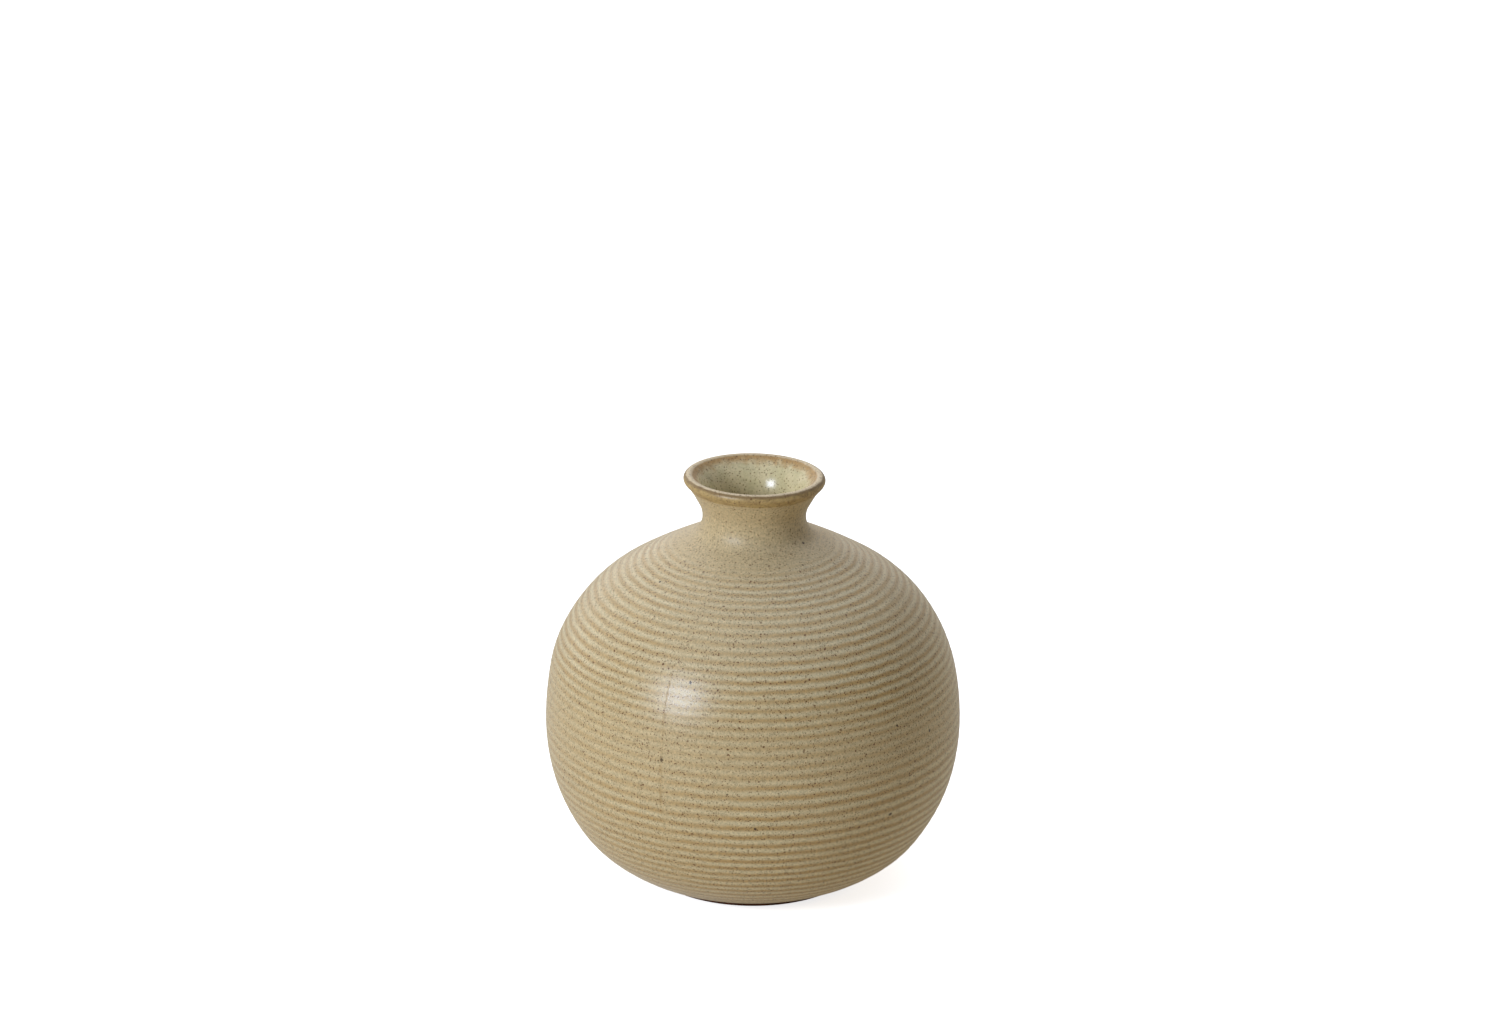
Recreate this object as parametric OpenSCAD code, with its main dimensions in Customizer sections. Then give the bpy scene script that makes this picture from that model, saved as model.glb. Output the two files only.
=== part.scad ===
// Ribbed stoneware globe vase with a short flared neck and a rolled lip.
// The pot stands on the plane z = 0 and its axis of symmetry is the Z axis.
// Its outline is one chain of tangent arcs, walked upwards from the edge of the outer glaze.
// A heading is the slope of the outline in degrees from upright: below 0 it leans
// outwards on the way up, above 0 it leans inwards over the shoulder.

/* [Body outline] */
// Diameter of the widest ring, over the glaze
belly_d = 160; // [150:1:170]
// Radius of the outline in the upper belly
upper_belly_r = 110; // [100:1:120]
// Turn of the outline over the upper belly, in degrees
upper_belly_turn = 11.2; // [9:0.1:13]
// Radius of the outline over the shoulder
shoulder_r = 60; // [57:0.5:63]
// Turn of the outline over the shoulder, in degrees
shoulder_turn = 47.7; // [46:0.1:49]
// Radius of the outline on the slope between the shoulder and the neck
slope_r = 267; // [240:1:300]
// Turn of the ribbed part of that slope, in degrees
slope_turn = 4.8; // [4:0.1:5.5]
// Radius of the outline in the lower belly
lower_belly_r = 75; // [70:0.5:80]
// Turn of the outline over the lower belly, in degrees
lower_belly_turn = 32.6; // [31:0.1:34]
// Radius of the outline at the haunch, where the belly turns under
haunch_r = 44.2; // [42:0.1:46]
// Turn of the outline over the haunch, in degrees
haunch_turn = 17.2; // [16:0.1:18]
// Radius of the outline under the haunch
underside_r = 60; // [57:0.5:63]
// Turn of the outline from the haunch to the lower edge of the outer glaze, in degrees
underside_turn = 20.3; // [19:0.1:20.5]

/* [Neck and lip] */
// Turn of the smooth part of the slope, above the last rib, in degrees
collar_turn = 1.35; // [0.8:0.05:1.6]
// Outer diameter of the throat, the narrowest ring of the neck
throat_d = 39.6; // [37:0.1:42]
// Radius of the outline in the flare above the throat
flare_r = 15.2; // [13:0.1:17]
// Turn of the flare up to the glaze break below the lip, in degrees
flare_turn = 45; // [40:1:48]
// Turn of the flare that belongs to the lip, in degrees
lip_turn = 10; // [6:1:12]

/* [Wall and glaze] */
// Thickness of the wall with both glazes, which is also the thickness of the lip
wall = 4.4; // [4:0.1:5]
// Thickness of a glaze coat where it lies over the clay
coat = 0.4; // [0.3:0.05:0.5]
// Height of the clay floor above the table, inside
floor_top = 5.4; // [5:0.1:5.6]

/* [Ribs] */
// Number of turned ribs between the foot and the neck
rib_count = 46; // [40:1:50]
// Depth of the groove between two ribs, over the glaze
rib_depth = 0.12; // [0.06:0.02:0.3]
// Extra thickness of the glaze where it pools in a groove
glaze_pool = 0.18; // [0:0.02:0.24]

/* [Foot] */
// Outer diameter of the foot ring where it meets the floor
foot_d = 79; // [77:0.5:80]
// Height of the foot ring
foot_h = 1.8; // [1.5:0.1:2]
// Width of the foot ring where it meets the floor
foot_w = 8.5; // [7:0.1:10]

/* [Seam] */
// Direction of the plane in which the two halves of the body meet, from +X, in degrees
seam_angle = 64.4; // [0:0.1:180]

/* [Hidden] */
$fn = 96;

clay_color = "#6b4a3a";
clay_light_color = "#80604c";
foot_color = "#4a2c20";
glaze_color = "#b5a680";
liner_color = "#a9ab8c";
lip_color = "#6f4c2a";

// Headings at the places where the arcs meet, from the bottom up
haunch_end = -lower_belly_turn;
haunch_start = haunch_end - haunch_turn;
glaze_edge = haunch_start - underside_turn;
shoulder_start = upper_belly_turn;
shoulder_end = shoulder_start + shoulder_turn;
neck_joint = shoulder_end + slope_turn;
collar_end = neck_joint + collar_turn;

// Each arc of the body: its signed radius, and the headings at its lower and upper end
BODY_ARCS = [
    [underside_r, glaze_edge, haunch_start],
    [haunch_r, haunch_start, haunch_end],
    [lower_belly_r, haunch_end, 0],
    [upper_belly_r, 0, shoulder_start],
    [shoulder_r, shoulder_start, shoulder_end],
    [slope_r, shoulder_end, neck_joint]
];
BELLY_ARC = 3;

// Step from the lower to the upper end of an arc, as [radius, height]
function arc_step(arc) = arc[0] * [cos(arc[2]) - cos(arc[1]), sin(arc[2]) - sin(arc[1])];
function arc_length(arc) = arc[0] * (arc[2] - arc[1]) * PI / 180;
function sum_steps(arcs, from, to) =
    from >= to ? [0, 0] : arc_step(arcs[from]) + sum_steps(arcs, from + 1, to);
function sum_lengths(arcs, to) = to <= 0 ? 0 : arc_length(arcs[to - 1]) + sum_lengths(arcs, to - 1);

// The point at a depth below the outline, for a point of the outline and its heading
function sunk(point, heading, depth) = point - depth * [cos(heading), sin(heading)];

// Height of the belly: the clay under the haunch meets the top of the foot ring
underside_start_r = belly_d / 2 - sum_steps(BODY_ARCS, 0, BELLY_ARC)[0];
underside_centre_r = underside_start_r - underside_r * cos(glaze_edge);
underside_clay_r = underside_r - coat;
foot_edge = -acos((foot_d / 2 - underside_centre_r) / underside_clay_r);
underside_centre_z = foot_h - underside_clay_r * sin(foot_edge);
body_start = [underside_start_r, underside_centre_z + underside_r * sin(glaze_edge)];
body_end = body_start + sum_steps(BODY_ARCS, 0, len(BODY_ARCS));
body_length = sum_lengths(BODY_ARCS, len(BODY_ARCS));
rib_pitch = body_length / rib_count;

// The neck starts on the slope, turns upright at the throat, and opens into the flare
collar_top = body_end + arc_step([slope_r, neck_joint, collar_end]);
fillet_r = (collar_top[0] - throat_d / 2) / (1 - cos(collar_end));
throat = [throat_d / 2, collar_top[1] + fillet_r * sin(collar_end)];
flare_end = throat + arc_step([-flare_r, 0, -flare_turn]);
lip_heading = -flare_turn - lip_turn;
lip_start = flare_end + arc_step([-flare_r, -flare_turn, lip_heading]);

// Points along one arc that starts at a point of the outline, at a depth below it
function arc_points(start, arc, depth, steps) = [
    for (i = [0:steps])
        let (heading = arc[1] + (arc[2] - arc[1]) * i / steps)
        sunk(start + arc_step([arc[0], arc[1], heading]), heading, depth)
];

// The outline of the body at a distance along it, found by walking up its arcs
function body_point(distance, depth, arc = 0, start = body_start) =
    let (this_arc = BODY_ARCS[arc], length = arc_length(this_arc))
    distance > length && arc < len(BODY_ARCS) - 1
        ? body_point(distance - length, depth, arc + 1, start + arc_step(this_arc))
        : let (heading = this_arc[1] + distance / this_arc[0] * 180 / PI)
          sunk(start + arc_step([this_arc[0], this_arc[1], heading]), heading, depth);

// The body at a depth, with grooves of a given depth cut between the rib crests
function ribbed_points(depth, groove, steps_per_rib) = [
    for (i = [0:rib_count * steps_per_rib])
        let (phase = 360 * i / steps_per_rib)
        body_point(i * rib_pitch / steps_per_rib, depth + groove * (1 - cos(phase)) / 2)
];
function body_points(depth, steps) = [
    for (i = [0:steps]) body_point(i * body_length / steps, depth)
];

function reversed(points) = [for (i = [len(points) - 1:-1:0]) points[i]];

// The smooth collar, from the last rib to the glaze break below the lip
function collar_points(depth) = concat(
    arc_points(body_end, [slope_r, neck_joint, collar_end], depth, 2),
    arc_points(collar_top, [-fillet_r, collar_end, 0], depth, 12),
    arc_points(throat, [-flare_r, 0, -flare_turn], depth, 10)
);

// The lip: the last of the flare outside, the rolled edge, and the last of the flare inside
lip_centre = sunk(lip_start, lip_heading, wall / 2);
function lip_flare_points(depth) =
    arc_points(flare_end, [-flare_r, -flare_turn, lip_heading], depth, 3);
function lip_points(depth) = concat(
    lip_flare_points(depth),
    [for (turn = [12:12:168]) sunk(lip_centre, lip_heading + turn, depth - wall / 2)],
    reversed(lip_flare_points(wall - depth))
);

// The rounded clay of the floor that shows between the foot ring and the glaze edge
underside_points = arc_points(
    body_start + arc_step([underside_r, glaze_edge, foot_edge]),
    [underside_r, foot_edge, glaze_edge], coat, 4
);

outer_clay = ribbed_points(coat, rib_depth + glaze_pool, 2);
outer_face = ribbed_points(0, rib_depth, 4);
inner_clay_depth = wall - coat;
inner_clay = body_points(inner_clay_depth, 36);
inner_face = body_points(wall, 36);

// The inside of the wall meets the flat floor over a short bevel
wall_foot = inner_clay[0];
floor_bevel = 2 * (wall_foot[1] - floor_top);
floor_rim = [wall_foot[0] - floor_bevel, floor_top];

module turned(points, start = 0, angle = 360) {
    rotate_extrude(angle = angle, start = start) polygon(points);
}

module half_shell(start) {
    turned(concat(outer_clay, reversed(inner_clay)), start = start, angle = 180);
}

module left_half_shell() {
    color(clay_color) half_shell(seam_angle);
}

module right_half_shell() {
    color(clay_light_color) half_shell(seam_angle + 180);
}

// The floor closes the pot: its rim is the cut end of the wall, and its top is flat inside
module floor_disc() {
    color(clay_color) turned(concat(
        underside_points,
        [wall_foot, floor_rim, [0, floor_top], [0, foot_h]]
    ));
}

// The bare ring that the pot stands on, rounded on its outer edge
module foot_ring() {
    outer_r = foot_d / 2;
    inner_r = outer_r - foot_w;
    inner_bevel = foot_h / 2;
    color(foot_color) turned(concat(
        [[inner_r, foot_h], [inner_r + inner_bevel, 0]],
        [for (turn = [0:15:90]) [outer_r, foot_h] + foot_h * [sin(turn) - 1, -cos(turn)]]
    ));
}

module neck_collar() {
    color(clay_light_color) turned(concat(
        collar_points(coat),
        reversed(collar_points(inner_clay_depth))
    ));
}

module lip_ring() {
    color(clay_color) turned(lip_points(coat));
}

module outer_glaze() {
    color(glaze_color) turned(concat(
        outer_face,
        collar_points(0),
        reversed(collar_points(coat)),
        reversed(outer_clay)
    ));
}

// The coat inside: the floor, the wall and the inside of the neck
module liner_glaze() {
    color(liner_color) turned(concat(
        [[0, floor_top], floor_rim],
        inner_clay,
        collar_points(inner_clay_depth),
        reversed(collar_points(wall)),
        reversed(inner_face),
        [[0, floor_top + coat]]
    ));
}

module lip_glaze() {
    color(lip_color) turned(concat(lip_points(0), reversed(lip_points(coat))));
}

left_half_shell();
right_half_shell();
floor_disc();
foot_ring();
neck_collar();
lip_ring();
outer_glaze();
liner_glaze();
lip_glaze();
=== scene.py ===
"""Looks of a ribbed stoneware globe vase: its glazes, its clay and its bare foot.

Every piece of the pot is turned from one outline, in millimetres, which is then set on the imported
frame and written in metres. The azimuth of a point is 0 towards the viewer (-Y) and grows to +X.
"""
import math

import bpy
import numpy as np
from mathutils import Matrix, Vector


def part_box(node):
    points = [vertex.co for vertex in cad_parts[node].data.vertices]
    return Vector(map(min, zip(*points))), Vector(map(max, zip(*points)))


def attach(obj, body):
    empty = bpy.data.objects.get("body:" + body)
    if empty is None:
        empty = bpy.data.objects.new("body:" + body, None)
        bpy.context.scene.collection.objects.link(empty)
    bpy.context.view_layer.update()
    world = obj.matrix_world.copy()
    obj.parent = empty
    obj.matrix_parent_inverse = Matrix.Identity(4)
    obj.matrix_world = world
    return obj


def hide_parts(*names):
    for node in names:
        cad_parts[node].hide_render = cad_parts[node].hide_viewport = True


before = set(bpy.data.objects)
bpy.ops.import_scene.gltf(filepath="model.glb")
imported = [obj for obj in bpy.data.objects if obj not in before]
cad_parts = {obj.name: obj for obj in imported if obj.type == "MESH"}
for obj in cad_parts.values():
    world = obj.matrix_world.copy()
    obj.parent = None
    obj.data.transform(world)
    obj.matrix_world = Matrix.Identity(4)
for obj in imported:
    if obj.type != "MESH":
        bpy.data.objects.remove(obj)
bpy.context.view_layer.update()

MM = 0.001
FULL_TURN = 2 * math.pi

# --- The pot's driving sizes, in mm and degrees --------------------------------------------------

WALL = 4.4  # the wall with both glazes, and the lip
COAT = 0.4  # a glaze coat over the clay
GLAZE_POOL = 0.18  # what a groove holds more than a crest
RIB_DEPTH = 0.12
GLAZE_RIB_DEPTH = 0.08  # what shows of the ribs once the glaze has run
THROAT_RADIUS = 19.8
FLOOR_TOP = 5.4
FOOT_WIDTH = 8.5
FOOT_ROUND = 0.6  # of its outer edge, which shows as a thin dark line under the belly

# The outline in tangent arcs, upwards from the lower edge of the outer glaze: radius and turn.
# A heading is the slope of the outline from upright. A hollow arc has a negative radius.
GLAZE_EDGE_HEADING = math.radians(-70.1)
BODY_ARCS = [(60, 20.3), (44.2, 17.2), (75, 32.6), (110, 11.2), (60, 47.7), (267, 4.8)]
COLLAR_ARC = (267, 1.35)
FLARE_ARC = (-15.2, -45)
LIP_ARC = (-15.2, -10)

SEAM_AZIMUTH = math.radians(-25.6)  # the mould seam, and its twin at the back
SEAM_RIDGE = 0.05
GLAZE_FLOW = 0.02  # how uneven the outer glaze is
LIP_FLOW = 0.04
GLAZE_EDGE_STEP = 0.3  # how far the glaze thins at its lower edge
LIP_FILL = 0.62  # what the visible lip adds in the hollow under its edge
LIP_TRIM = 0.3  # and what it takes off the edge itself


def arc_step(radius, low, high):
    """Step along an arc between two headings, as radius and height."""
    return radius * np.array([np.cos(high) - np.cos(low), np.sin(high) - np.sin(low)])


def chain(arcs):
    """Each arc as [radius, low heading, high heading, start distance, start radius, start height]."""
    rows, heading, distance, place = [], GLAZE_EDGE_HEADING, 0.0, np.zeros(2)
    for radius, turn in arcs:
        top = heading + math.radians(turn)
        rows.append([radius, heading, top, distance, *place])
        place = place + arc_step(radius, heading, top)
        distance += radius * (top - heading)
        heading = top
    rows.append([1.0, heading, heading, distance, *place])
    return np.array(rows)


def full_chain():
    """The whole outline, with the hollow at the foot of the neck worked out from the throat."""
    lower = BODY_ARCS + [COLLAR_ARC]
    rows = chain(lower)
    belly_row = chain(BODY_ARCS[:3])[-1]
    belly_radius = (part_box("outer_glaze")[1].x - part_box("outer_glaze")[0].x) / 2 / MM
    collar_radius = belly_radius + rows[-1][4] - belly_row[4]
    hollow_turn = rows[-1][1]
    hollow_radius = (collar_radius - THROAT_RADIUS) / (1 - math.cos(hollow_turn))
    hollow_arc = (-hollow_radius, -math.degrees(hollow_turn))
    return chain(lower + [hollow_arc, FLARE_ARC, LIP_ARC])


CHAIN = full_chain()
BODY_LENGTH = CHAIN[len(BODY_ARCS), 3]
FLARE_TOP, OUTLINE_TOP = CHAIN[-2, 3], CHAIN[-1, 3]
LIP_HEADING = CHAIN[-1, 1]


def raw_outline(distance):
    """Radius, height and heading at distances along the outline, from its own start."""
    distance = np.asarray(distance, float)
    row = np.clip(np.searchsorted(CHAIN[:, 3], distance, side="right") - 1, 0, len(CHAIN) - 2)
    radius, low, _, start, r, z = np.moveaxis(CHAIN[row], -1, 0)
    heading = low + (distance - start) / radius
    return (
        r + radius * (np.cos(heading) - np.cos(low)),
        z + radius * (np.sin(heading) - np.sin(low)),
        heading,
    )


def sunk(r, z, heading, depth):
    """A point at a depth below the outline, along its normal."""
    return r - depth * np.cos(heading), z - depth * np.sin(heading)


# The outline is set on the frame by the outer edge and the top of the lip
raw_r, raw_z, _ = raw_outline(OUTLINE_TOP)
raw_r, raw_z = sunk(raw_r, raw_z, LIP_HEADING, WALL / 2)
lip_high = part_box("lip_glaze")[1] / MM
SHIFT = np.array([lip_high.x - WALL / 2 - raw_r, lip_high.z - WALL / 2 - raw_z])
LIP_CENTRE = np.array([raw_r, raw_z]) + SHIFT


def outline(distance):
    """Radius, height and heading at distances along the outline, in the frame."""
    r, z, heading = raw_outline(distance)
    return r + SHIFT[0], z + SHIFT[1], heading


BELLY_RADII, BELLY_HEIGHTS, _ = outline(np.linspace(0, BODY_LENGTH, 200))
LIP_CREST_PLACE = OUTLINE_TOP + WALL / 2 * (math.pi / 2 - LIP_HEADING)  # the top of the lip
LIP_END = OUTLINE_TOP + WALL / 2 * math.pi  # where the rolled edge runs into the inner face
LIP_SPAN = LIP_END - LIP_CREST_PLACE + OUTLINE_TOP - FLARE_TOP  # crest to liner, on the inside

# --- Ribs, seam and the unevenness of a handmade pot ---------------------------------------------

RIBS = 46  # as in the CAD; the waves in the pitch leave 45 crests on the body
FIRST_RIB = 2.2  # how far rib 0 is below the neck joint, before the waves
RIB_PITCH = 3.843

# Slow waves that run through the pitch: size in mm, the rib at rest, and the period in ribs
PITCH_WAVES = [(2.9, 38.4, 66), (0.84, -9.2, 17.6)]


def rib_distance(rib):
    """Distance of a rib crest below the neck joint."""
    distance = FIRST_RIB + RIB_PITCH * rib
    for size, rest, period in PITCH_WAVES:
        distance = distance + size * np.sin(FULL_TURN * (rib - rest) / period)
    return distance


RIB_TABLE = np.linspace(-12, RIBS + 4, 2000)  # finely spaced, from the lip to past the foot
RIB_TABLE_DISTANCE = BODY_LENGTH - rib_distance(RIB_TABLE)


def rib_number(distance):
    """Which rib lies at a distance along the outline: a whole number on a crest."""
    return np.interp(-distance, -RIB_TABLE_DISTANCE, RIB_TABLE)


def rib_rows(steps):
    """Distances along the body, upwards, with a number of equal steps from crest to crest."""
    ribs = np.arange(-3 * steps, (RIBS + 3) * steps) / steps
    distance = BODY_LENGTH - rib_distance(ribs[::-1])
    inside = (distance > 0.2) & (distance < BODY_LENGTH - 0.2)
    return np.concatenate([[0], distance[inside], [BODY_LENGTH]])


def smooth_step(low, high, value):
    """Runs smoothly from 0 to 1 as the value goes from low to high."""
    t = np.clip((value - low) / (high - low), 0, 1)
    return t * t * (3 - 2 * t)


def hill(centre, width, value):
    """1 at a centre, falling off smoothly over about the width on both sides."""
    return np.exp(-(((value - centre) / width) ** 2))


def azimuth_gap(azimuth, centre):
    """Signed angle between two azimuths."""
    return (azimuth - centre + math.pi) % FULL_TURN - math.pi


def waves(azimuth, distance, seed, count=7, azimuth_turns=6, distance_period=30.0):
    """Smooth random unevenness over the pot, about -1 to 1, that closes on itself."""
    random = np.random.default_rng(seed)
    total = np.zeros(np.broadcast(azimuth, distance).shape)
    for _ in range(count):
        turns = random.integers(1, azimuth_turns + 1)
        slope = random.uniform(-1, 1) * FULL_TURN / distance_period
        total += np.sin(turns * azimuth + slope * distance + random.uniform(0, FULL_TURN))
    return total / math.sqrt(count)


def seam_offset(azimuth, distance):
    """Signed distance round the surface from the nearer seam, in mm."""
    front = azimuth_gap(azimuth, SEAM_AZIMUTH)
    back = azimuth_gap(azimuth, SEAM_AZIMUTH + math.pi)
    nearer = np.where(np.abs(front) < np.abs(back), front, back)
    return nearer * outline(distance)[0]


def facing(azimuth, centre, width):
    """1 at an azimuth in degrees, falling off smoothly over about the width."""
    return hill(0, math.radians(width), azimuth_gap(azimuth, math.radians(centre)))


def rib_strength(azimuth, distance):
    """How clearly the ribs show: 0 is not at all, and 1 is fully."""
    height = outline(distance)[1]
    ends = smooth_step(-2.4, 2.2, rib_number(distance)) * smooth_step(0.0, 4.0, distance)
    belly = 1 - 0.58 * hill(75, 15, height)
    shoulder = 1 - 0.22 * smooth_step(102, 118, height)
    left = 1 - 0.36 * facing(azimuth, -52, 40)
    upper_front = 1 - 0.34 * facing(azimuth, -10, 20) * smooth_step(62, 86, height)
    lower_right = 1 + 0.4 * facing(azimuth, 45, 34) * hill(26, 11, height)
    fettled = 1 - 0.55 * hill(2.0, 1.6, seam_offset(azimuth, distance))
    uneven = 1.08 + 0.16 * waves(azimuth, distance, seed=4, azimuth_turns=9, distance_period=12.0)
    strength = ends * belly * shoulder * left * upper_front * lower_right * fettled * uneven
    return np.clip(strength, 0, 1.5)


def grooves(azimuth, distance):
    """0 on a rib crest and 1 in a full groove."""
    groove = (1 - np.cos(FULL_TURN * rib_number(distance))) / 2
    return groove * rib_strength(azimuth, distance)


def glaze_relief(azimuth, distance):
    """How far the outer glaze stands proud of the outline, in mm."""
    seam = SEAM_RIDGE * hill(0, 0.35, seam_offset(azimuth, distance))
    body = 1 - smooth_step(BODY_LENGTH - 4, BODY_LENGTH + 6, distance)
    edge = smooth_step(0, 1.2, distance) - 1
    flow = waves(azimuth, distance, seed=11, azimuth_turns=14, distance_period=20.0)
    ribs = GLAZE_RIB_DEPTH * grooves(azimuth, distance)
    return body * (seam - ribs) + GLAZE_FLOW * flow + GLAZE_EDGE_STEP * edge


def lip_relief(azimuth, distance):
    """How far the glaze outside the lip stands proud of the outline, in mm."""
    return LIP_FLOW * waves(azimuth, distance, seed=23, azimuth_turns=10, distance_period=12.0)


def clay_relief(azimuth, distance):
    """How far the clay under the outer glaze stands proud of an even depth, in mm."""
    body = 1 - smooth_step(BODY_LENGTH - 4, BODY_LENGTH, distance)
    return -body * (RIB_DEPTH + GLAZE_POOL) * grooves(azimuth, distance)


# Swellings and flats of the wall: azimuth, height, half widths of each, and size in mm
WALL_MARKS = [
    (-82, 92, 40, 10, 0.36),
    (-82, 34, 40, 14, 0.18),
    (80, 12, 45, 7, 0.40),
    (84, 36, 45, 16, 0.26),
    (85, 98, 45, 14, -0.24),
    (160, 80, 50, 18, 0.25),
    (200, 40, 45, 15, -0.20),
]
NECK_LEAN = 0.1  # towards +X
RIM_TILT = math.tan(math.radians(0.9))  # the right of the rim is its lower side
RIM_PITCH = math.tan(math.radians(0.87))  # the front of the rim is its higher side
RIM_RISE = 0.4  # of the middle of the rim


def settle(azimuth, r, z):
    """Turns radius and height into places, with the pot's slight unevenness, in mm."""
    swell = np.zeros(np.broadcast(azimuth, z).shape)
    for mark_azimuth, height, azimuth_width, height_width, size in WALL_MARKS:
        gap = azimuth_gap(azimuth, math.radians(mark_azimuth))
        swell += size * hill(0, math.radians(azimuth_width), gap) * hill(height, height_width, z)
    standing = smooth_step(0, 6, z)
    r = r + swell * standing * smooth_step(20, 50, r)
    neck = smooth_step(126, 150, z)
    x = r * np.sin(azimuth) + NECK_LEAN * neck
    y = -r * np.cos(azimuth)
    rim = smooth_step(138, 158, z)
    return np.stack([x, y, z + rim * (RIM_RISE - RIM_TILT * x - RIM_PITCH * y)], -1)


# --- Turning a closed profile into a mesh --------------------------------------------------------


def azimuth_columns(count, seam_count=0, seam_width=3.0):
    """Azimuths round the pot, with more of them close to the two seams."""
    columns = [np.arange(count) * FULL_TURN / count]
    if seam_count:
        close = np.radians(np.linspace(-seam_width, seam_width, seam_count))
        columns += [SEAM_AZIMUTH + close, SEAM_AZIMUTH + math.pi + close]
    return np.unique(np.round(np.concatenate(columns) % FULL_TURN, 6))


def lip_shape(distance):
    """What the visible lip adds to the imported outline: a straighter flare and a tighter edge."""
    fill = LIP_FILL * hill(FLARE_TOP - 4.0, 4.0, distance)
    return fill - LIP_TRIM * hill(OUTLINE_TOP + 0.6, 1.6, distance)


def skin(azimuths, distances, depth, relief=None):
    """Rows of points at a depth below the outline: radius, height and distance."""
    distance, azimuth = np.meshgrid(distances, azimuths, indexing="ij")
    r, z, heading = outline(distance)
    proud = lip_shape(distance) if depth < WALL / 2 else 0.0  # the inner face has none
    if relief:
        proud = proud + relief(azimuth, distance)
    r, z = sunk(r, z, heading, depth - proud)
    return np.stack([r, z, distance], -1)


def ring_rows(azimuths, points, distance=0.0):
    """Rows of points at given radii and heights."""
    rows = np.array([(r, z, distance) for r, z in points], float)
    return np.repeat(rows[:, None, :], len(azimuths), axis=1)


def lip_rows(azimuths, depth, turns=14):
    """The rolled edge, from the outer face of the wall over to the inner one."""
    angles = LIP_HEADING + np.linspace(0, math.pi, turns + 1)[1:-1]
    distances = OUTLINE_TOP + (WALL / 2) * (angles - LIP_HEADING)
    radii = WALL / 2 - depth + lip_shape(distances)
    points = LIP_CENTRE + radii[:, None] * np.stack([np.cos(angles), np.sin(angles)], -1)
    rows = ring_rows(azimuths, points)
    rows[..., 2] = distances[:, None]
    return rows


def past_lip(rows):
    """Inner rows of the lip, with the distance counted on over the rolled edge."""
    rows[..., 2] = LIP_END + OUTLINE_TOP - rows[..., 2]
    return rows


def face_grid(rows, columns, wrap_rows, wrap_columns):
    """Quads between rows and columns of points, which may close on themselves."""
    row = np.arange(rows if wrap_rows else rows - 1)[:, None]
    column = np.arange(columns if wrap_columns else columns - 1)[None, :]
    next_row, next_column = (row + 1) % rows, (column + 1) % columns
    corners = [
        row * columns + column,
        row * columns + next_column,
        next_row * columns + next_column,
        next_row * columns + column,
    ]
    return np.stack(np.broadcast_arrays(*corners), -1).reshape(-1, 4).tolist()


def signed_volume(points, faces):
    """Volume inside the faces, below 0 if they are wound inside out."""
    triangles = []
    for face in faces:
        triangles += [(face[0], face[i], face[i + 1]) for i in range(1, len(face) - 1)]
    a, b, c = (points[np.array(triangles)[:, i]] for i in range(3))
    return float((a * np.cross(b, c)).sum() / 6)


def add_piece(name, points, faces, attributes, material, cad_nodes):
    """Makes the mesh, smooth shaded, and says where it stands in the frame."""
    if signed_volume(points, faces) < 0:
        faces = [face[::-1] for face in faces]
    mesh = bpy.data.meshes.new(name)
    mesh.from_pydata((points * MM).tolist(), [], faces)
    mesh.polygons.foreach_set("use_smooth", np.ones(len(faces), bool))
    for key, values in attributes.items():
        layer = mesh.attributes.new(key, "FLOAT", "POINT")
        layer.data.foreach_set("value", np.asarray(values, np.float32).ravel())
    mesh.materials.append(material)
    mesh.update()
    mesh.set_sharp_from_angle(angle=math.radians(40))
    piece = bpy.data.objects.new(name, mesh)
    bpy.context.scene.collection.objects.link(piece)
    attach(piece, "root")
    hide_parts(*cad_nodes)
    return piece


def pole_fans(rows, first_pole):
    """Triangles that close both ends on the axis, and the places of the two poles."""
    count, columns = rows.shape[:2]
    fans = []
    for end, first in enumerate((0, (count - 1) * columns)):
        fan = [[first + (i + 1) % columns, first + i, first_pole + end] for i in range(columns)]
        fans += [corners[::-1] for corners in fan] if end else fan
    return fans, [[0, 0, rows[0, 0, 1]], [0, 0, rows[-1, 0, 1]]]


def cut_ends(count, columns):
    """Quads over the two cut ends: outer rows are matched one to one with inner rows."""
    quads = []
    for column in (0, columns - 1):
        for low in range(count // 2 - 1):
            high = count - 1 - low
            quad = [row * columns + column for row in (low, low + 1, high - 1, high)]
            quads.append(quad[::-1] if column else quad)
    return quads


def turn_piece(name, azimuths, parts, material, cad_nodes, poles=False, half=False):
    """Turns rows of points into a closed piece. With poles, both ends meet on the axis."""
    rows = np.concatenate(parts)
    points = settle(azimuths[None, :], rows[..., 0], rows[..., 1]).reshape(-1, 3)
    count, columns = rows.shape[:2]
    faces = face_grid(count, columns, wrap_rows=not poles, wrap_columns=not half)
    distance = rows[..., 2]
    strength = rib_strength(azimuths[None, :], distance)
    attributes = {"along": distance, "rib": rib_number(distance), "rib_strength": strength}
    if poles:
        fans, ends = pole_fans(rows, len(points))
        faces += fans
        points = np.concatenate([points, ends])
        attributes = {
            key: np.append(values.ravel(), [values[0, 0], values[-1, 0]])
            for key, values in attributes.items()
        }
    if half:
        faces += cut_ends(count, columns)
    return add_piece(name, points, faces, attributes, material, cad_nodes)


# --- Materials -----------------------------------------------------------------------------------


def tone(hex_colour):
    """A display colour as linear RGBA."""
    values = [int(hex_colour[i:i + 2], 16) / 255 for i in (0, 2, 4)]
    linear = [v / 12.92 if v <= 0.04045 else ((v + 0.055) / 1.055) ** 2.4 for v in values]
    return (*linear, 1.0)


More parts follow.
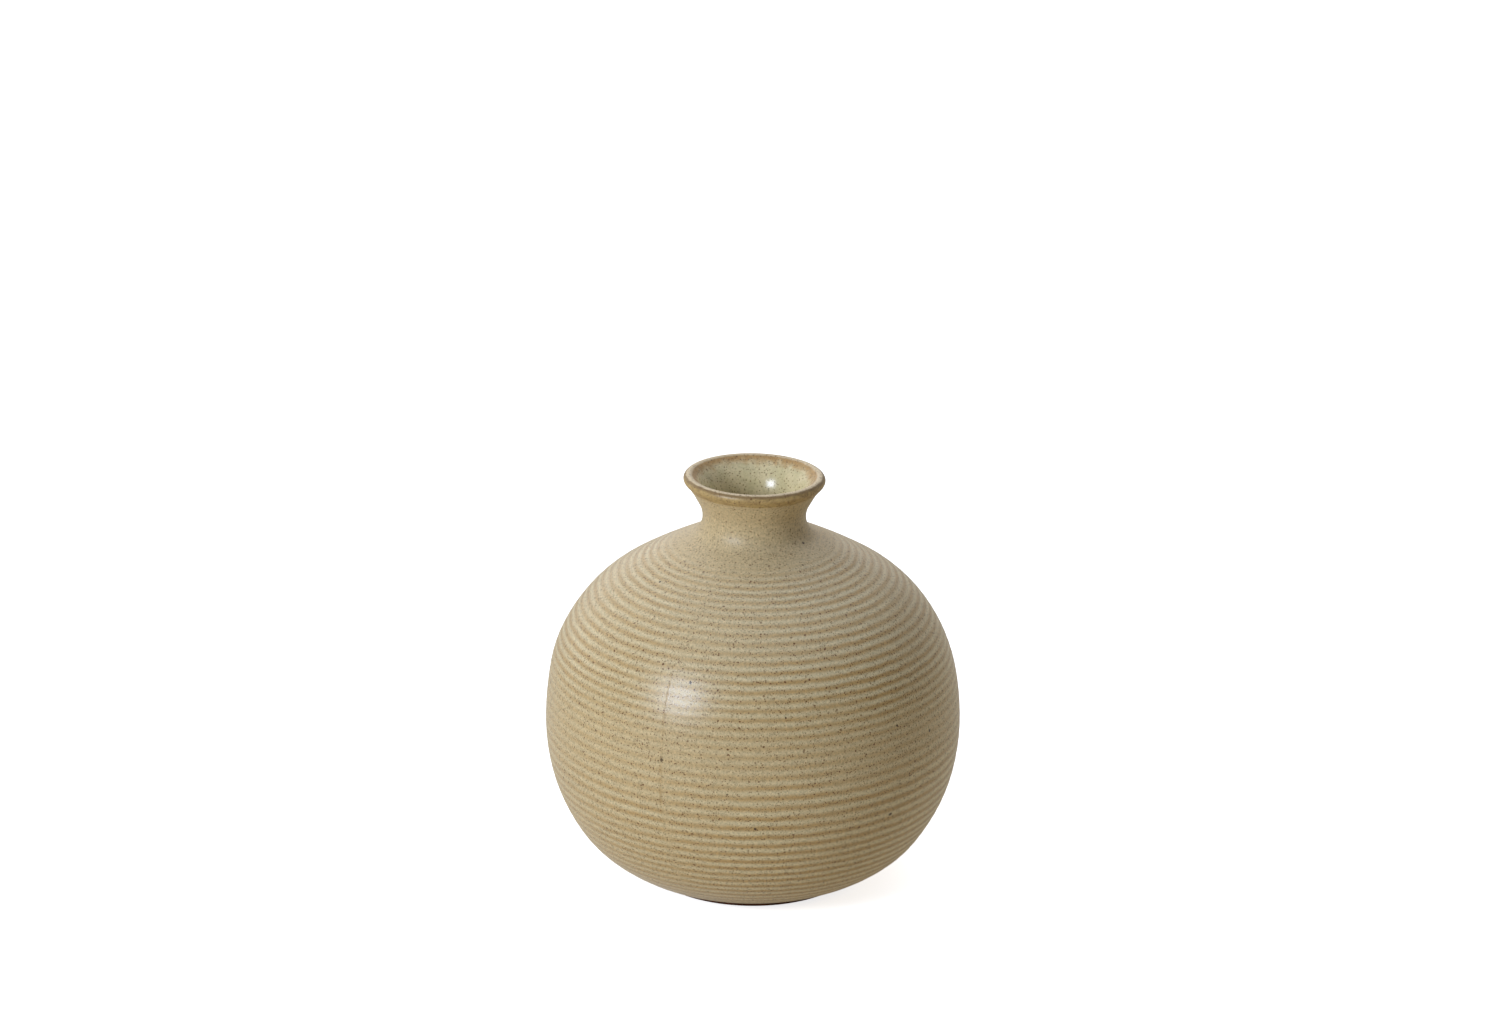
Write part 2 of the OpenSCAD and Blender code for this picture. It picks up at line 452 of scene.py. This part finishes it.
class Graph:
    """A material whose nodes are added by short calls, each of which returns an output."""

    def __init__(self, name, roughness, specular=0.5, sheen=0.0):
        self.material = bpy.data.materials.new(name)
        self.material.use_nodes = True
        self.tree = self.material.node_tree
        self.shader = self.tree.nodes["Principled BSDF"]
        self.shader.inputs["Roughness"].default_value = roughness
        self.shader.inputs["Specular IOR Level"].default_value = specular
        self.shader.inputs["Sheen Weight"].default_value = sheen
        self.shader.inputs["Sheen Roughness"].default_value = 0.4
        place = self.node("TexCoord", {}, output="Object")
        self.mm = self.node("VectorMath", {0: place, "Scale": 1 / MM}, operation="SCALE")

    def node(self, kind, inputs, output=0, **settings):
        """Adds a node with values or links at its inputs, and returns one of its outputs."""
        node = self.tree.nodes.new("ShaderNode" + kind)
        for key, value in settings.items():
            setattr(node, key, value)
        for key, value in inputs.items():
            self.feed(node.inputs[key], value)
        return node.outputs[output]

    def feed(self, socket, value):
        if isinstance(value, bpy.types.NodeSocket):
            self.tree.links.new(value, socket)
        else:
            socket.default_value = value

    def math(self, operation, a, b=0.0, c=0.0):
        return self.node("Math", {0: a, 1: b, 2: c}, operation=operation)

    def attribute(self, name):
        return self.node("Attribute", {}, output="Fac", attribute_name=name)

    def stretched(self, x, y, z):
        """Places whose coordinates are scaled, to draw a pattern out."""
        return self.node("VectorMath", {0: self.mm, 1: (x, y, z)}, operation="MULTIPLY")

    def grain(self, size=0.95, roughness=0.7):
        """The fine grain of a glaze."""
        return self.noise(size, detail=3.0, roughness=roughness)

    def noise(self, size, detail=2.0, roughness=0.5, place=None, output=0):
        """Noise whose features are about this many mm across."""
        inputs = {"Vector": place or self.mm, "Scale": 1 / size, "Detail": detail}
        return self.node("TexNoise", {**inputs, "Roughness": roughness}, output=output)

    def steps(self, value, low, high, low_out=0.0, high_out=1.0):
        """Runs smoothly from low_out to high_out as the value goes from low to high."""
        inputs = {0: value, 1: low, 2: high, 3: low_out, 4: high_out}
        return self.node("MapRange", inputs, interpolation_type="SMOOTHSTEP")

    def mix(self, factor, a, b, blend="MIX"):
        inputs = {0: factor, 6: a, 7: b}
        return self.node("Mix", inputs, output=2, data_type="RGBA", blend_type=blend)

    def specks(self, cell, radius, share):
        """Round specks in a share of the cells of a pattern, all sizes in mm."""
        inputs = {"Vector": self.mm, "Scale": 1 / cell}
        distance = self.node("TexVoronoi", inputs)
        pick = self.node("TexVoronoi", inputs, output="Color")
        chance = self.node("SeparateColor", {0: pick}, output=0)
        size = self.node("SeparateColor", {0: pick}, output=1)
        reach = self.math("MULTIPLY_ADD", size, 0.6 * radius / cell, 0.4 * radius / cell)
        ragged = self.noise(radius * 0.9, detail=1.0)
        reach = self.math("MULTIPLY", reach, self.math("ADD", ragged, 0.5))
        inside = self.math("SUBTRACT", reach, distance)
        edge = 0.12 * radius / cell
        dot = self.steps(inside, -edge, edge)
        return self.math("MULTIPLY", dot, self.math("LESS_THAN", chance, share))

    def bump(self, height, distance, strength):
        """Fine relief, up to a distance in mm."""
        inputs = {"Height": height, "Distance": distance * MM, "Strength": strength}
        self.feed(self.shader.inputs["Normal"], self.node("Bump", inputs))

    def colour(self, value):
        """Sets the colour and hands over the finished material."""
        self.feed(self.shader.inputs["Base Color"], value)
        return self.material


RIB_GROOVE = tone("d2c19a")
NECK_BROWN = 0.4  # the neck's place between the groove's colour and the crest's
RIB_CREST = tone("b39361")
SEAM_BROWN = tone("94713f")
SPECK_BROWN = tone("65401d")
SPECK_DARK = tone("3c2a18")
LIP_BAND = tone("ba9e69")
LIP_DARK = tone("a48759")
LIP_BAND_LENGTH = 7.2  # mm of the lip's outside, from the crest down
# the crest of the lip: paler glaze, with a painted highlight along its top
LIP_CREST_PALE_AND_HIGHLIGHT = tone("d3bd97")
LIP_EDGE_BROWN_AND_SHADE = tone("7d6138")  # the dark line under the crest: partly brown glaze breaking, partly painted shade under the edge
LIP_RUST = tone("b18a52")
LINER_GREEN = tone("dbca9e")
LINER_POOL = tone("cdbf92")
CLAY = tone("8a6248")
CLAY_DARK = tone("6b4937")
FOOT_BROWN = tone("6a3d2c")
FOOT_DARK = tone("472a20")
GROG = tone("b59a7d")

# Single marks on the outer glaze: azimuth in degrees, height, half width, half height, darkness
GLAZE_MARKS = [
    (41.8, 46.7, 1.05, 0.62, 0.9),
    (-25.4, 73.7, 0.75, 0.80, 0.75),
    (-34.0, 38.2, 0.50, 0.42, 0.8),
    (-6.8, 63.0, 0.45, 0.45, 0.8),
]

# Iron specks: size of a cell and half width in mm, share of the cells that hold one, darkness
PEPPER_SPECKS = (0.85, 0.31, 0.80, 0.85)
MIDDLE_SPECKS = (1.9, 0.43, 0.50, 0.95)
LARGE_SPECKS = (6.0, 0.58, 0.18, 0.95)


def speckled(graph, base, amount):
    """Iron specks that come up through a glaze: a fine pepper and fewer large ones."""
    for *pattern, darkness in (PEPPER_SPECKS, MIDDLE_SPECKS):
        specks = graph.math("MULTIPLY", graph.specks(*pattern), darkness)
        base = graph.mix(graph.math("MULTIPLY", specks, amount), base, SPECK_BROWN)
    *pattern, darkness = LARGE_SPECKS
    return graph.mix(graph.math("MULTIPLY", graph.specks(*pattern), darkness), base, SPECK_DARK)


def clouded(graph, base, grain, depth=0.95):
    """Makes a colour lighter and darker from grain to grain."""
    factor = graph.math("MULTIPLY_ADD", grain, depth, 1 - depth / 2)
    return graph.mix(1.0, base, factor, blend="MULTIPLY")


def outer_glaze_material():
    """Speckled celadon: pale where it pools in the grooves, brown where it thins on the crests."""
    graph = Graph("celadon_glaze", roughness=0.4, specular=0.46, sheen=0.2)
    rib = graph.attribute("rib")
    strength = graph.attribute("rib_strength")
    along = graph.attribute("along")
    grain = graph.grain(0.85, roughness=0.75)
    wander = graph.math("MULTIPLY_ADD", graph.noise(7), 0.3, -0.15)
    wave = graph.math("ADD", rib, wander)
    wave = graph.math("COSINE", graph.math("MULTIPLY", wave, FULL_TURN))
    patches = graph.steps(graph.noise(22, detail=3.0), 0.3, 0.7, 0.78, 1.2)
    amount = graph.math("MULTIPLY", graph.math("MULTIPLY", strength, patches), 0.5)
    neck = graph.steps(along, BODY_LENGTH - 6, BODY_LENGTH + 2)
    centre = graph.math("MULTIPLY_ADD", neck, NECK_BROWN - 0.5, 0.5)
    brown = graph.math("MULTIPLY_ADD", wave, amount, centre)
    ragged = graph.math("MULTIPLY_ADD", grain, 0.7, -0.35)
    brown = graph.math("MULTIPLY_ADD", ragged, graph.math("ADD", amount, 0.35), brown)
    base = graph.mix(brown, RIB_GROOVE, RIB_CREST)
    base = graph.mix(seam_stain(graph), base, SEAM_BROWN)
    foot_edge = graph.steps(along, 3.2, 0.8, 0.0, 0.85)
    base = graph.mix(foot_edge, base, FOOT_BROWN)
    iron = graph.steps(brown, 0.25, 0.65, 0.65, 1.0)  # it gathers where the glaze is thin
    base = speckled(graph, clouded(graph, base, grain, 1.55), iron)
    for mark in GLAZE_MARKS:
        base = graph.mix(glaze_mark(graph, *mark), base, SPECK_DARK)
    dips = graph.math("MULTIPLY_ADD", grain, 0.7, graph.noise(0.45, detail=1.0))
    graph.bump(dips, 0.055, 0.75)
    gloss = graph.steps(grain, 0.2, 0.8, 0.23, 0.42)
    gloss = graph.math("MULTIPLY_ADD", neck, 0.13, gloss)
    graph.feed(graph.shader.inputs["Roughness"], gloss)
    return graph.colour(base)


def seam_stain(graph):
    """The brown line of the fettled seam, clearest round the belly."""
    across = (math.cos(SEAM_AZIMUTH), math.sin(SEAM_AZIMUTH), 0.0)
    offset = graph.node("VectorMath", {0: graph.mm, 1: across}, output=1, operation="DOT_PRODUCT")
    height = graph.node("SeparateXYZ", {0: graph.mm}, output=2)
    bend = graph.math("MULTIPLY_ADD", graph.noise(9), 0.8, -0.4)
    offset = graph.math("ABSOLUTE", graph.math("ADD", offset, bend))
    line = graph.steps(offset, 1.0, 0.1)
    belly = graph.math("MULTIPLY", graph.steps(height, 42, 62), graph.steps(height, 112, 92))
    broken = graph.steps(graph.noise(2.2, detail=3.0), 0.35, 0.65, 0.10, 0.50)
    return graph.math("MULTIPLY", graph.math("MULTIPLY", line, belly), broken)


def glaze_mark(graph, azimuth, height, half_width, half_height, darkness):
    """One dark spot of iron at a place on the belly."""
    azimuth = math.radians(azimuth)
    radius = np.interp(height, BELLY_HEIGHTS, BELLY_RADII)
    place = (radius * math.sin(azimuth), -radius * math.cos(azimuth), height)
    from_place = graph.node("VectorMath", {0: graph.mm, 1: place}, operation="SUBTRACT")
    flatten = (1 / half_width, 1 / half_width, 1 / half_height)
    scaled = graph.node("VectorMath", {0: from_place, 1: flatten}, operation="MULTIPLY")
    gap = graph.node("VectorMath", {0: scaled}, output=1, operation="LENGTH")
    gap = graph.math("ADD", gap, graph.math("MULTIPLY_ADD", graph.noise(0.5), 0.9, -0.45))
    return graph.steps(gap, 1.1, 0.7, 0.0, darkness)


def liner_fade(graph, place):
    """How far the brown inside the lip has run out into the liner, with drips."""
    runs = graph.noise(2.6, detail=3.0, place=graph.stretched(1.0, 1.0, 0.4))
    reach = graph.math("MULTIPLY_ADD", runs, 5.0, -2.5)
    return graph.steps(graph.math("ADD", place, reach), 1.6, 5.2)


def lip_material():
    """Thin glaze that breaks brown on both sides of the lip and stays pale on its crest, with a
    painted highlight along it.
    """
    graph = Graph("lip_glaze", roughness=0.4)
    along = graph.attribute("along")
    grain = graph.grain()
    uneven = graph.math("MULTIPLY_ADD", graph.noise(3.0, detail=3.0), 0.9, -0.45)
    place = graph.math("SUBTRACT", graph.math("ADD", along, uneven), LIP_CREST_PLACE)
    base = graph.mix(graph.steps(graph.noise(2.2, detail=3.0), 0.4, 0.7), LIP_BAND, LIP_DARK)
    neck = graph.mix(NECK_BROWN, RIB_GROOVE, RIB_CREST)
    lower_edge = graph.steps(place, -LIP_BAND_LENGTH - 0.3, -LIP_BAND_LENGTH + 0.3)
    base = graph.mix(lower_edge, neck, base)
    base = graph.mix(graph.steps(place, 0.0, 1.0), base, LIP_RUST)
    # a dark line under the crest: partly brown glaze breaking, partly painted shade under the edge
    line = graph.math("MULTIPLY", graph.steps(place, -2.7, -1.7), graph.steps(place, -0.7, -1.2))
    base = graph.mix(graph.math("MULTIPLY", line, 0.8), base, LIP_EDGE_BROWN_AND_SHADE)
    # the pale crest: paler glaze, with a painted highlight along the top of the lip
    crest = graph.math("MULTIPLY", graph.steps(place, -1.3, -0.7), graph.steps(place, 1.7, 0.8))
    base = graph.mix(graph.math("MULTIPLY", crest, 0.9), base, LIP_CREST_PALE_AND_HIGHLIGHT)
    base = graph.mix(liner_fade(graph, place), base, LINER_GREEN)
    graph.bump(graph.math("MULTIPLY_ADD", grain, 0.6, graph.noise(0.8)), 0.045, 0.7)
    return graph.colour(speckled(graph, clouded(graph, base, grain), 0.8))


def liner_material():
    """Glossy pale celadon, with faint brown runs down from the lip."""
    graph = Graph("liner_glaze", roughness=0.22)
    along = graph.attribute("along")
    grain = graph.grain()
    place = graph.math("SUBTRACT", FLARE_TOP + LIP_SPAN, along)
    green = graph.mix(graph.steps(graph.noise(6, detail=3.0), 0.35, 0.7), LINER_GREEN, LINER_POOL)
    base = graph.mix(liner_fade(graph, place), LIP_RUST, green)
    graph.bump(graph.math("MULTIPLY_ADD", grain, 0.4, graph.noise(1.4)), 0.035, 0.6)
    return graph.colour(speckled(graph, clouded(graph, base, grain, 0.6), 0.75))


def clay_material(name, light, dark, grain_depth):
    """Fired clay with grog, and fine rings from the turning."""
    graph = Graph(name, roughness=0.85, specular=0.25)
    rings = graph.noise(1.0, detail=2.0, place=graph.stretched(0.12, 0.12, 1.6))
    base = graph.mix(graph.steps(graph.noise(4, detail=4.0), 0.35, 0.7), light, dark)
    base = graph.mix(graph.specks(1.4, 0.3, 0.5), base, GROG)
    height = graph.math("MULTIPLY_ADD", rings, 0.6, graph.noise(0.35, detail=3.0))
    graph.bump(height, grain_depth, 0.8)
    return graph.colour(base)


# --- The pieces ----------------------------------------------------------------------------------


BODY_ROWS = rib_rows(6)
HIDDEN_BODY_ROWS = rib_rows(2)  # coarser, for the faces inside the wall
NECK_ROWS = np.linspace(BODY_LENGTH, FLARE_TOP, 40)
COLLAR_ROWS = NECK_ROWS[1:]  # above the joint, for pieces that go on below it
LIP_FLARE_ROWS = np.linspace(FLARE_TOP, OUTLINE_TOP, 6)
SEAMED_COLUMNS = azimuth_columns(172, seam_count=21)
COLUMNS = azimuth_columns(192)
HALF_COLUMNS = np.linspace(0, math.pi, 97)

CLAY_DEPTH = WALL - COAT  # where the clay ends and the liner glaze begins
WALL_FOOT = skin(COLUMNS, [0.0], CLAY_DEPTH)[0, 0, :2]  # the inner edge of the wall, at its foot
FLOOR_RADIUS = WALL_FOOT[0] - 2 * (WALL_FOOT[1] - FLOOR_TOP)
FOOT_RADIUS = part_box("foot_ring")[1].x / MM
FOOT_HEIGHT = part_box("foot_ring")[1].z / MM


def level_rows(radius, height, nearest, outwards=True):
    """Rows over a level disc, from a share of its radius to its rim or back."""
    shares = np.linspace(nearest, 1, 6)
    if not outwards:
        shares = shares[::-1]
    return ring_rows(COLUMNS, [(radius * share, height) for share in shares])


def build_outer_glaze():
    """The ribbed glaze coat, from just above the foot to just below the lip."""
    columns = SEAMED_COLUMNS
    turn_piece(
        "outer_glaze_coat", columns,
        [
            skin(columns, np.concatenate([BODY_ROWS, COLLAR_ROWS]), 0, glaze_relief),
            skin(columns, COLLAR_ROWS[::-1], COAT),
            skin(columns, HIDDEN_BODY_ROWS[-2::-1], COAT, clay_relief),
        ],
        outer_glaze_material(), ["outer_glaze"],
    )


def build_lip_glaze():
    """The thin glaze over both sides of the lip."""
    turn_piece(
        "lip_glaze_coat", COLUMNS,
        [
            skin(COLUMNS, LIP_FLARE_ROWS, 0, lip_relief),
            lip_rows(COLUMNS, 0),
            past_lip(skin(COLUMNS, LIP_FLARE_ROWS[::-1], WALL)),
            skin(COLUMNS, LIP_FLARE_ROWS, CLAY_DEPTH),
            lip_rows(COLUMNS, COAT)[::-1],
            skin(COLUMNS, LIP_FLARE_ROWS[::-1], COAT),
        ],
        lip_material(), ["lip_glaze"],
    )


def build_liner_glaze():
    """The glaze inside, over the floor, the wall and the neck."""
    rows = np.concatenate([np.linspace(0, BODY_LENGTH, 60), COLLAR_ROWS])
    turn_piece(
        "liner_glaze_coat", COLUMNS,
        [
            level_rows(FLOOR_RADIUS, FLOOR_TOP, 0.2),
            skin(COLUMNS, rows, CLAY_DEPTH),
            skin(COLUMNS, rows[::-1], WALL),
            level_rows(FLOOR_RADIUS, FLOOR_TOP + COAT, 0.2, outwards=False),
        ],
        liner_material(), ["liner_glaze"], poles=True,
    )


def build_neck_clay(clay):
    """The clay of the smooth neck."""
    turn_piece(
        "neck_clay", COLUMNS,
        [skin(COLUMNS, NECK_ROWS, COAT), skin(COLUMNS, NECK_ROWS[::-1], CLAY_DEPTH)],
        clay, ["neck_collar"],
    )


def build_lip_clay(clay):
    """The clay of the rolled lip."""
    turn_piece(
        "lip_clay", COLUMNS,
        [
            skin(COLUMNS, LIP_FLARE_ROWS, COAT),
            lip_rows(COLUMNS, COAT),
            skin(COLUMNS, LIP_FLARE_ROWS[::-1], CLAY_DEPTH),
        ],
        clay, ["lip_ring"],
    )


def build_half_clay(side, start, clay):
    """One half of the body wall, from one seam round to the other."""
    columns = start + HALF_COLUMNS
    turn_piece(
        f"{side}_half_clay", columns,
        [
            skin(columns, HIDDEN_BODY_ROWS, COAT, clay_relief),
            skin(columns, HIDDEN_BODY_ROWS[::-1], CLAY_DEPTH),
        ],
        clay, [f"{side}_half_shell"], half=True,
    )


def build_floor_clay(foot_clay):
    """The floor of the pot, which ends at the foot of the wall."""
    edge = skin(COLUMNS, [0.0], COAT)[0, 0, :2]
    turn_piece(
        "floor_clay", COLUMNS,
        [
            level_rows(FOOT_RADIUS, FOOT_HEIGHT, 0.15),
            ring_rows(COLUMNS, [edge, WALL_FOOT]),
            level_rows(FLOOR_RADIUS, FLOOR_TOP, 0.15, outwards=False),
        ],
        foot_clay, ["floor_disc"], poles=True,
    )


def build_foot_ring(foot_clay):
    """The bare ring that the pot stands on."""
    inner = FOOT_RADIUS - FOOT_WIDTH
    slope = FOOT_HEIGHT / 2  # of the ring's inner face, which leans in towards the table
    hollow = [(inner, FOOT_HEIGHT), (inner + slope / 2, 0.5), (inner + slope, 0)]
    rounded = [
        (FOOT_RADIUS + FOOT_ROUND * (math.sin(a) - 1), FOOT_ROUND * (1 - math.cos(a)))
        for a in np.linspace(0, math.pi / 2, 6)
    ]
    rounded.append((FOOT_RADIUS, FOOT_HEIGHT))
    turn_piece(
        "bare_foot_ring", COLUMNS, [ring_rows(COLUMNS, hollow), ring_rows(COLUMNS, rounded)],
        foot_clay, ["foot_ring"],
    )


def build_pot():
    """All nine pieces of the pot."""
    clay = clay_material("stoneware_clay", CLAY, CLAY_DARK, 0.08)
    foot_clay = clay_material("bare_foot", FOOT_BROWN, FOOT_DARK, 0.10)
    build_outer_glaze()
    build_lip_glaze()
    build_liner_glaze()
    build_neck_clay(clay)
    build_lip_clay(clay)
    build_half_clay("left", SEAM_AZIMUTH + math.pi, clay)
    build_half_clay("right", SEAM_AZIMUTH, clay)
    build_floor_clay(foot_clay)
    build_foot_ring(foot_clay)


# --- Studio --------------------------------------------------------------------------------------

CAMERA_DISTANCE = 2.2  # from the middle of the pot
CAMERA_ELEVATION = math.radians(21.8)
CAMERA_PITCH = math.radians(19.873)
CAMERA_ROLL = math.radians(0.33)
CAMERA_SIDE = -0.00153
CAMERA_AIM_HEIGHT = 0.067
LENS = 136.6

FLOOR_HALF = 6.0
WHITE = (1.0, 1.0, 1.0)
FLOOR_BOUNCE = (1.0, 0.90, 0.70)  # the tint of the light that it throws back at the pot
FLOOR_SHADE = 0.5
FLOOR_GLOW = 0.2
FLOOR_WHITE = 0.8  # what is added to the floor as the camera sees it
BACKDROP_WHITE = 0.95
LOBE_EDGE = 0.45  # cosine at the edge of a soft light of the room

KEY_AZIMUTH, KEY_ELEVATION = -44, 24
KEY_DISTANCE = 1.6
KEY_SIZE = (0.50, 0.42)
KEY_POWER = 15.2
KEY_AIM_HEIGHT = 0.08
KEY_TINT = (0.90, 1.0, 1.16)
SKY_TINT = (0.93, 1.02, 1.18)
ROOM_TINT = (1.0, 0.95, 0.87)

# Broad soft lights of the room: azimuth, elevation, brightness and tint
ROOM_LIGHTS = [
    (-150, 12, 1.02, ROOM_TINT),
    (150, 12, 0.45, ROOM_TINT),
    (-135, 50, 0.19, SKY_TINT),
    (135, 50, 0.11, SKY_TINT),
    (0, 90, 0.63, SKY_TINT),
]


def add_camera():
    """A long lens at the viewing angle of the photo."""
    data = bpy.data.cameras.new("camera")
    data.lens = LENS
    data.sensor_width = 36
    camera = bpy.data.objects.new("camera", data)
    camera.location = (
        CAMERA_SIDE,
        -CAMERA_DISTANCE * math.cos(CAMERA_ELEVATION),
        CAMERA_AIM_HEIGHT + CAMERA_DISTANCE * math.sin(CAMERA_ELEVATION),
    )
    camera.rotation_mode = "ZYX"  # the roll comes first, about the line of sight
    camera.rotation_euler = (math.pi / 2 - CAMERA_PITCH, 0, CAMERA_ROLL)
    bpy.context.scene.collection.objects.link(camera)
    bpy.context.scene.camera = camera


def scaled(colour, factor):
    """A colour made brighter or darker, as RGBA."""
    return (*(factor * c for c in colour), 1.0)


def add_floor():
    """A pale table top. The camera sees it as white as an overexposed sheet of paper."""
    graph = Graph("pale_floor", roughness=0.9, specular=0.1)
    seen = graph.node("LightPath", {}, output="Is Camera Ray")
    shade = graph.mix(seen, scaled(FLOOR_BOUNCE, FLOOR_SHADE), scaled(WHITE, 0.9))
    glow = graph.mix(seen, scaled(FLOOR_BOUNCE, FLOOR_GLOW), scaled(WHITE, FLOOR_WHITE))
    graph.shader.inputs["Emission Strength"].default_value = 1.0
    graph.feed(graph.shader.inputs["Emission Color"], glow)
    corners = [(-FLOOR_HALF, -FLOOR_HALF), (FLOOR_HALF, -FLOOR_HALF)]
    corners += [(-x, -y) for x, y in corners]
    mesh = bpy.data.meshes.new("pale_floor")
    mesh.from_pydata([(x, y, 0) for x, y in corners], [], [(0, 1, 2, 3)])
    mesh.materials.append(graph.colour(shade))
    floor = bpy.data.objects.new("pale_floor", mesh)
    bpy.context.scene.collection.objects.link(floor)


def direction(azimuth, elevation):
    """Unit vector towards an azimuth and elevation, in radians."""
    level = math.cos(elevation)
    return level * math.sin(azimuth), -level * math.cos(azimuth), math.sin(elevation)


def add_window():
    """The key light: a rectangular lamp that looks at the pot from the left."""
    data = bpy.data.lights.new("window_key", "AREA")
    data.shape = "RECTANGLE"
    data.size, data.size_y = KEY_SIZE
    data.energy = KEY_POWER
    data.color = KEY_TINT
    lamp = bpy.data.objects.new("window_key", data)
    azimuth, elevation = math.radians(KEY_AZIMUTH), math.radians(KEY_ELEVATION)
    x, y, z = (KEY_DISTANCE * part for part in direction(azimuth, elevation))
    lamp.location = (x, y, KEY_AIM_HEIGHT + z)
    lamp.rotation_euler = (math.pi / 2 - elevation, 0, azimuth)
    bpy.context.scene.collection.objects.link(lamp)


def room_light(tree, place, azimuth, elevation, brightness):
    """One broad soft light: brightest in its own direction, and smoothly out to its edge."""
    dot = tree.nodes.new("ShaderNodeVectorMath")
    dot.operation = "DOT_PRODUCT"
    dot.inputs[1].default_value = direction(math.radians(azimuth), math.radians(elevation))
    tree.links.new(place, dot.inputs[0])
    lobe = tree.nodes.new("ShaderNodeMapRange")
    lobe.interpolation_type = "SMOOTHSTEP"
    for socket, value in zip(lobe.inputs[1:5], (LOBE_EDGE, 1.0, 0.0, brightness)):
        socket.default_value = value
    tree.links.new(dot.outputs["Value"], lobe.inputs[0])
    return lobe.outputs[0]


def room_glow(tree):
    """The sum of all the lights of the room, each in its tint."""
    place = tree.nodes.new("ShaderNodeTexCoord").outputs["Generated"]
    total = None
    for *light, tint in ROOM_LIGHTS:
        add = tree.nodes.new("ShaderNodeVectorMath")
        add.operation = "MULTIPLY_ADD"
        add.inputs[0].default_value = tint
        tree.links.new(room_light(tree, place, *light), add.inputs[1])
        if total is not None:
            tree.links.new(total, add.inputs[2])
        total = add.outputs["Vector"]
    return total


def add_world():
    """A pale room with broad soft lights, most of them behind the pot. The camera sees it white."""
    world = bpy.data.worlds.new("studio")
    world.use_nodes = True
    tree = world.node_tree
    background = tree.nodes["Background"]
    backdrop = tree.nodes.new("ShaderNodeMix")
    backdrop.data_type = "RGBA"
    backdrop.inputs[7].default_value = scaled(WHITE, BACKDROP_WHITE)
    seen = tree.nodes.new("ShaderNodeLightPath").outputs["Is Camera Ray"]
    tree.links.new(seen, backdrop.inputs[0])
    tree.links.new(room_glow(tree), backdrop.inputs[6])
    tree.links.new(backdrop.outputs[2], background.inputs["Color"])
    background.inputs["Strength"].default_value = 1.0
    bpy.context.scene.world = world


add_camera()
build_pot()
add_floor()
add_world()
add_window()
bpy.context.scene.view_settings.view_transform = "Standard"
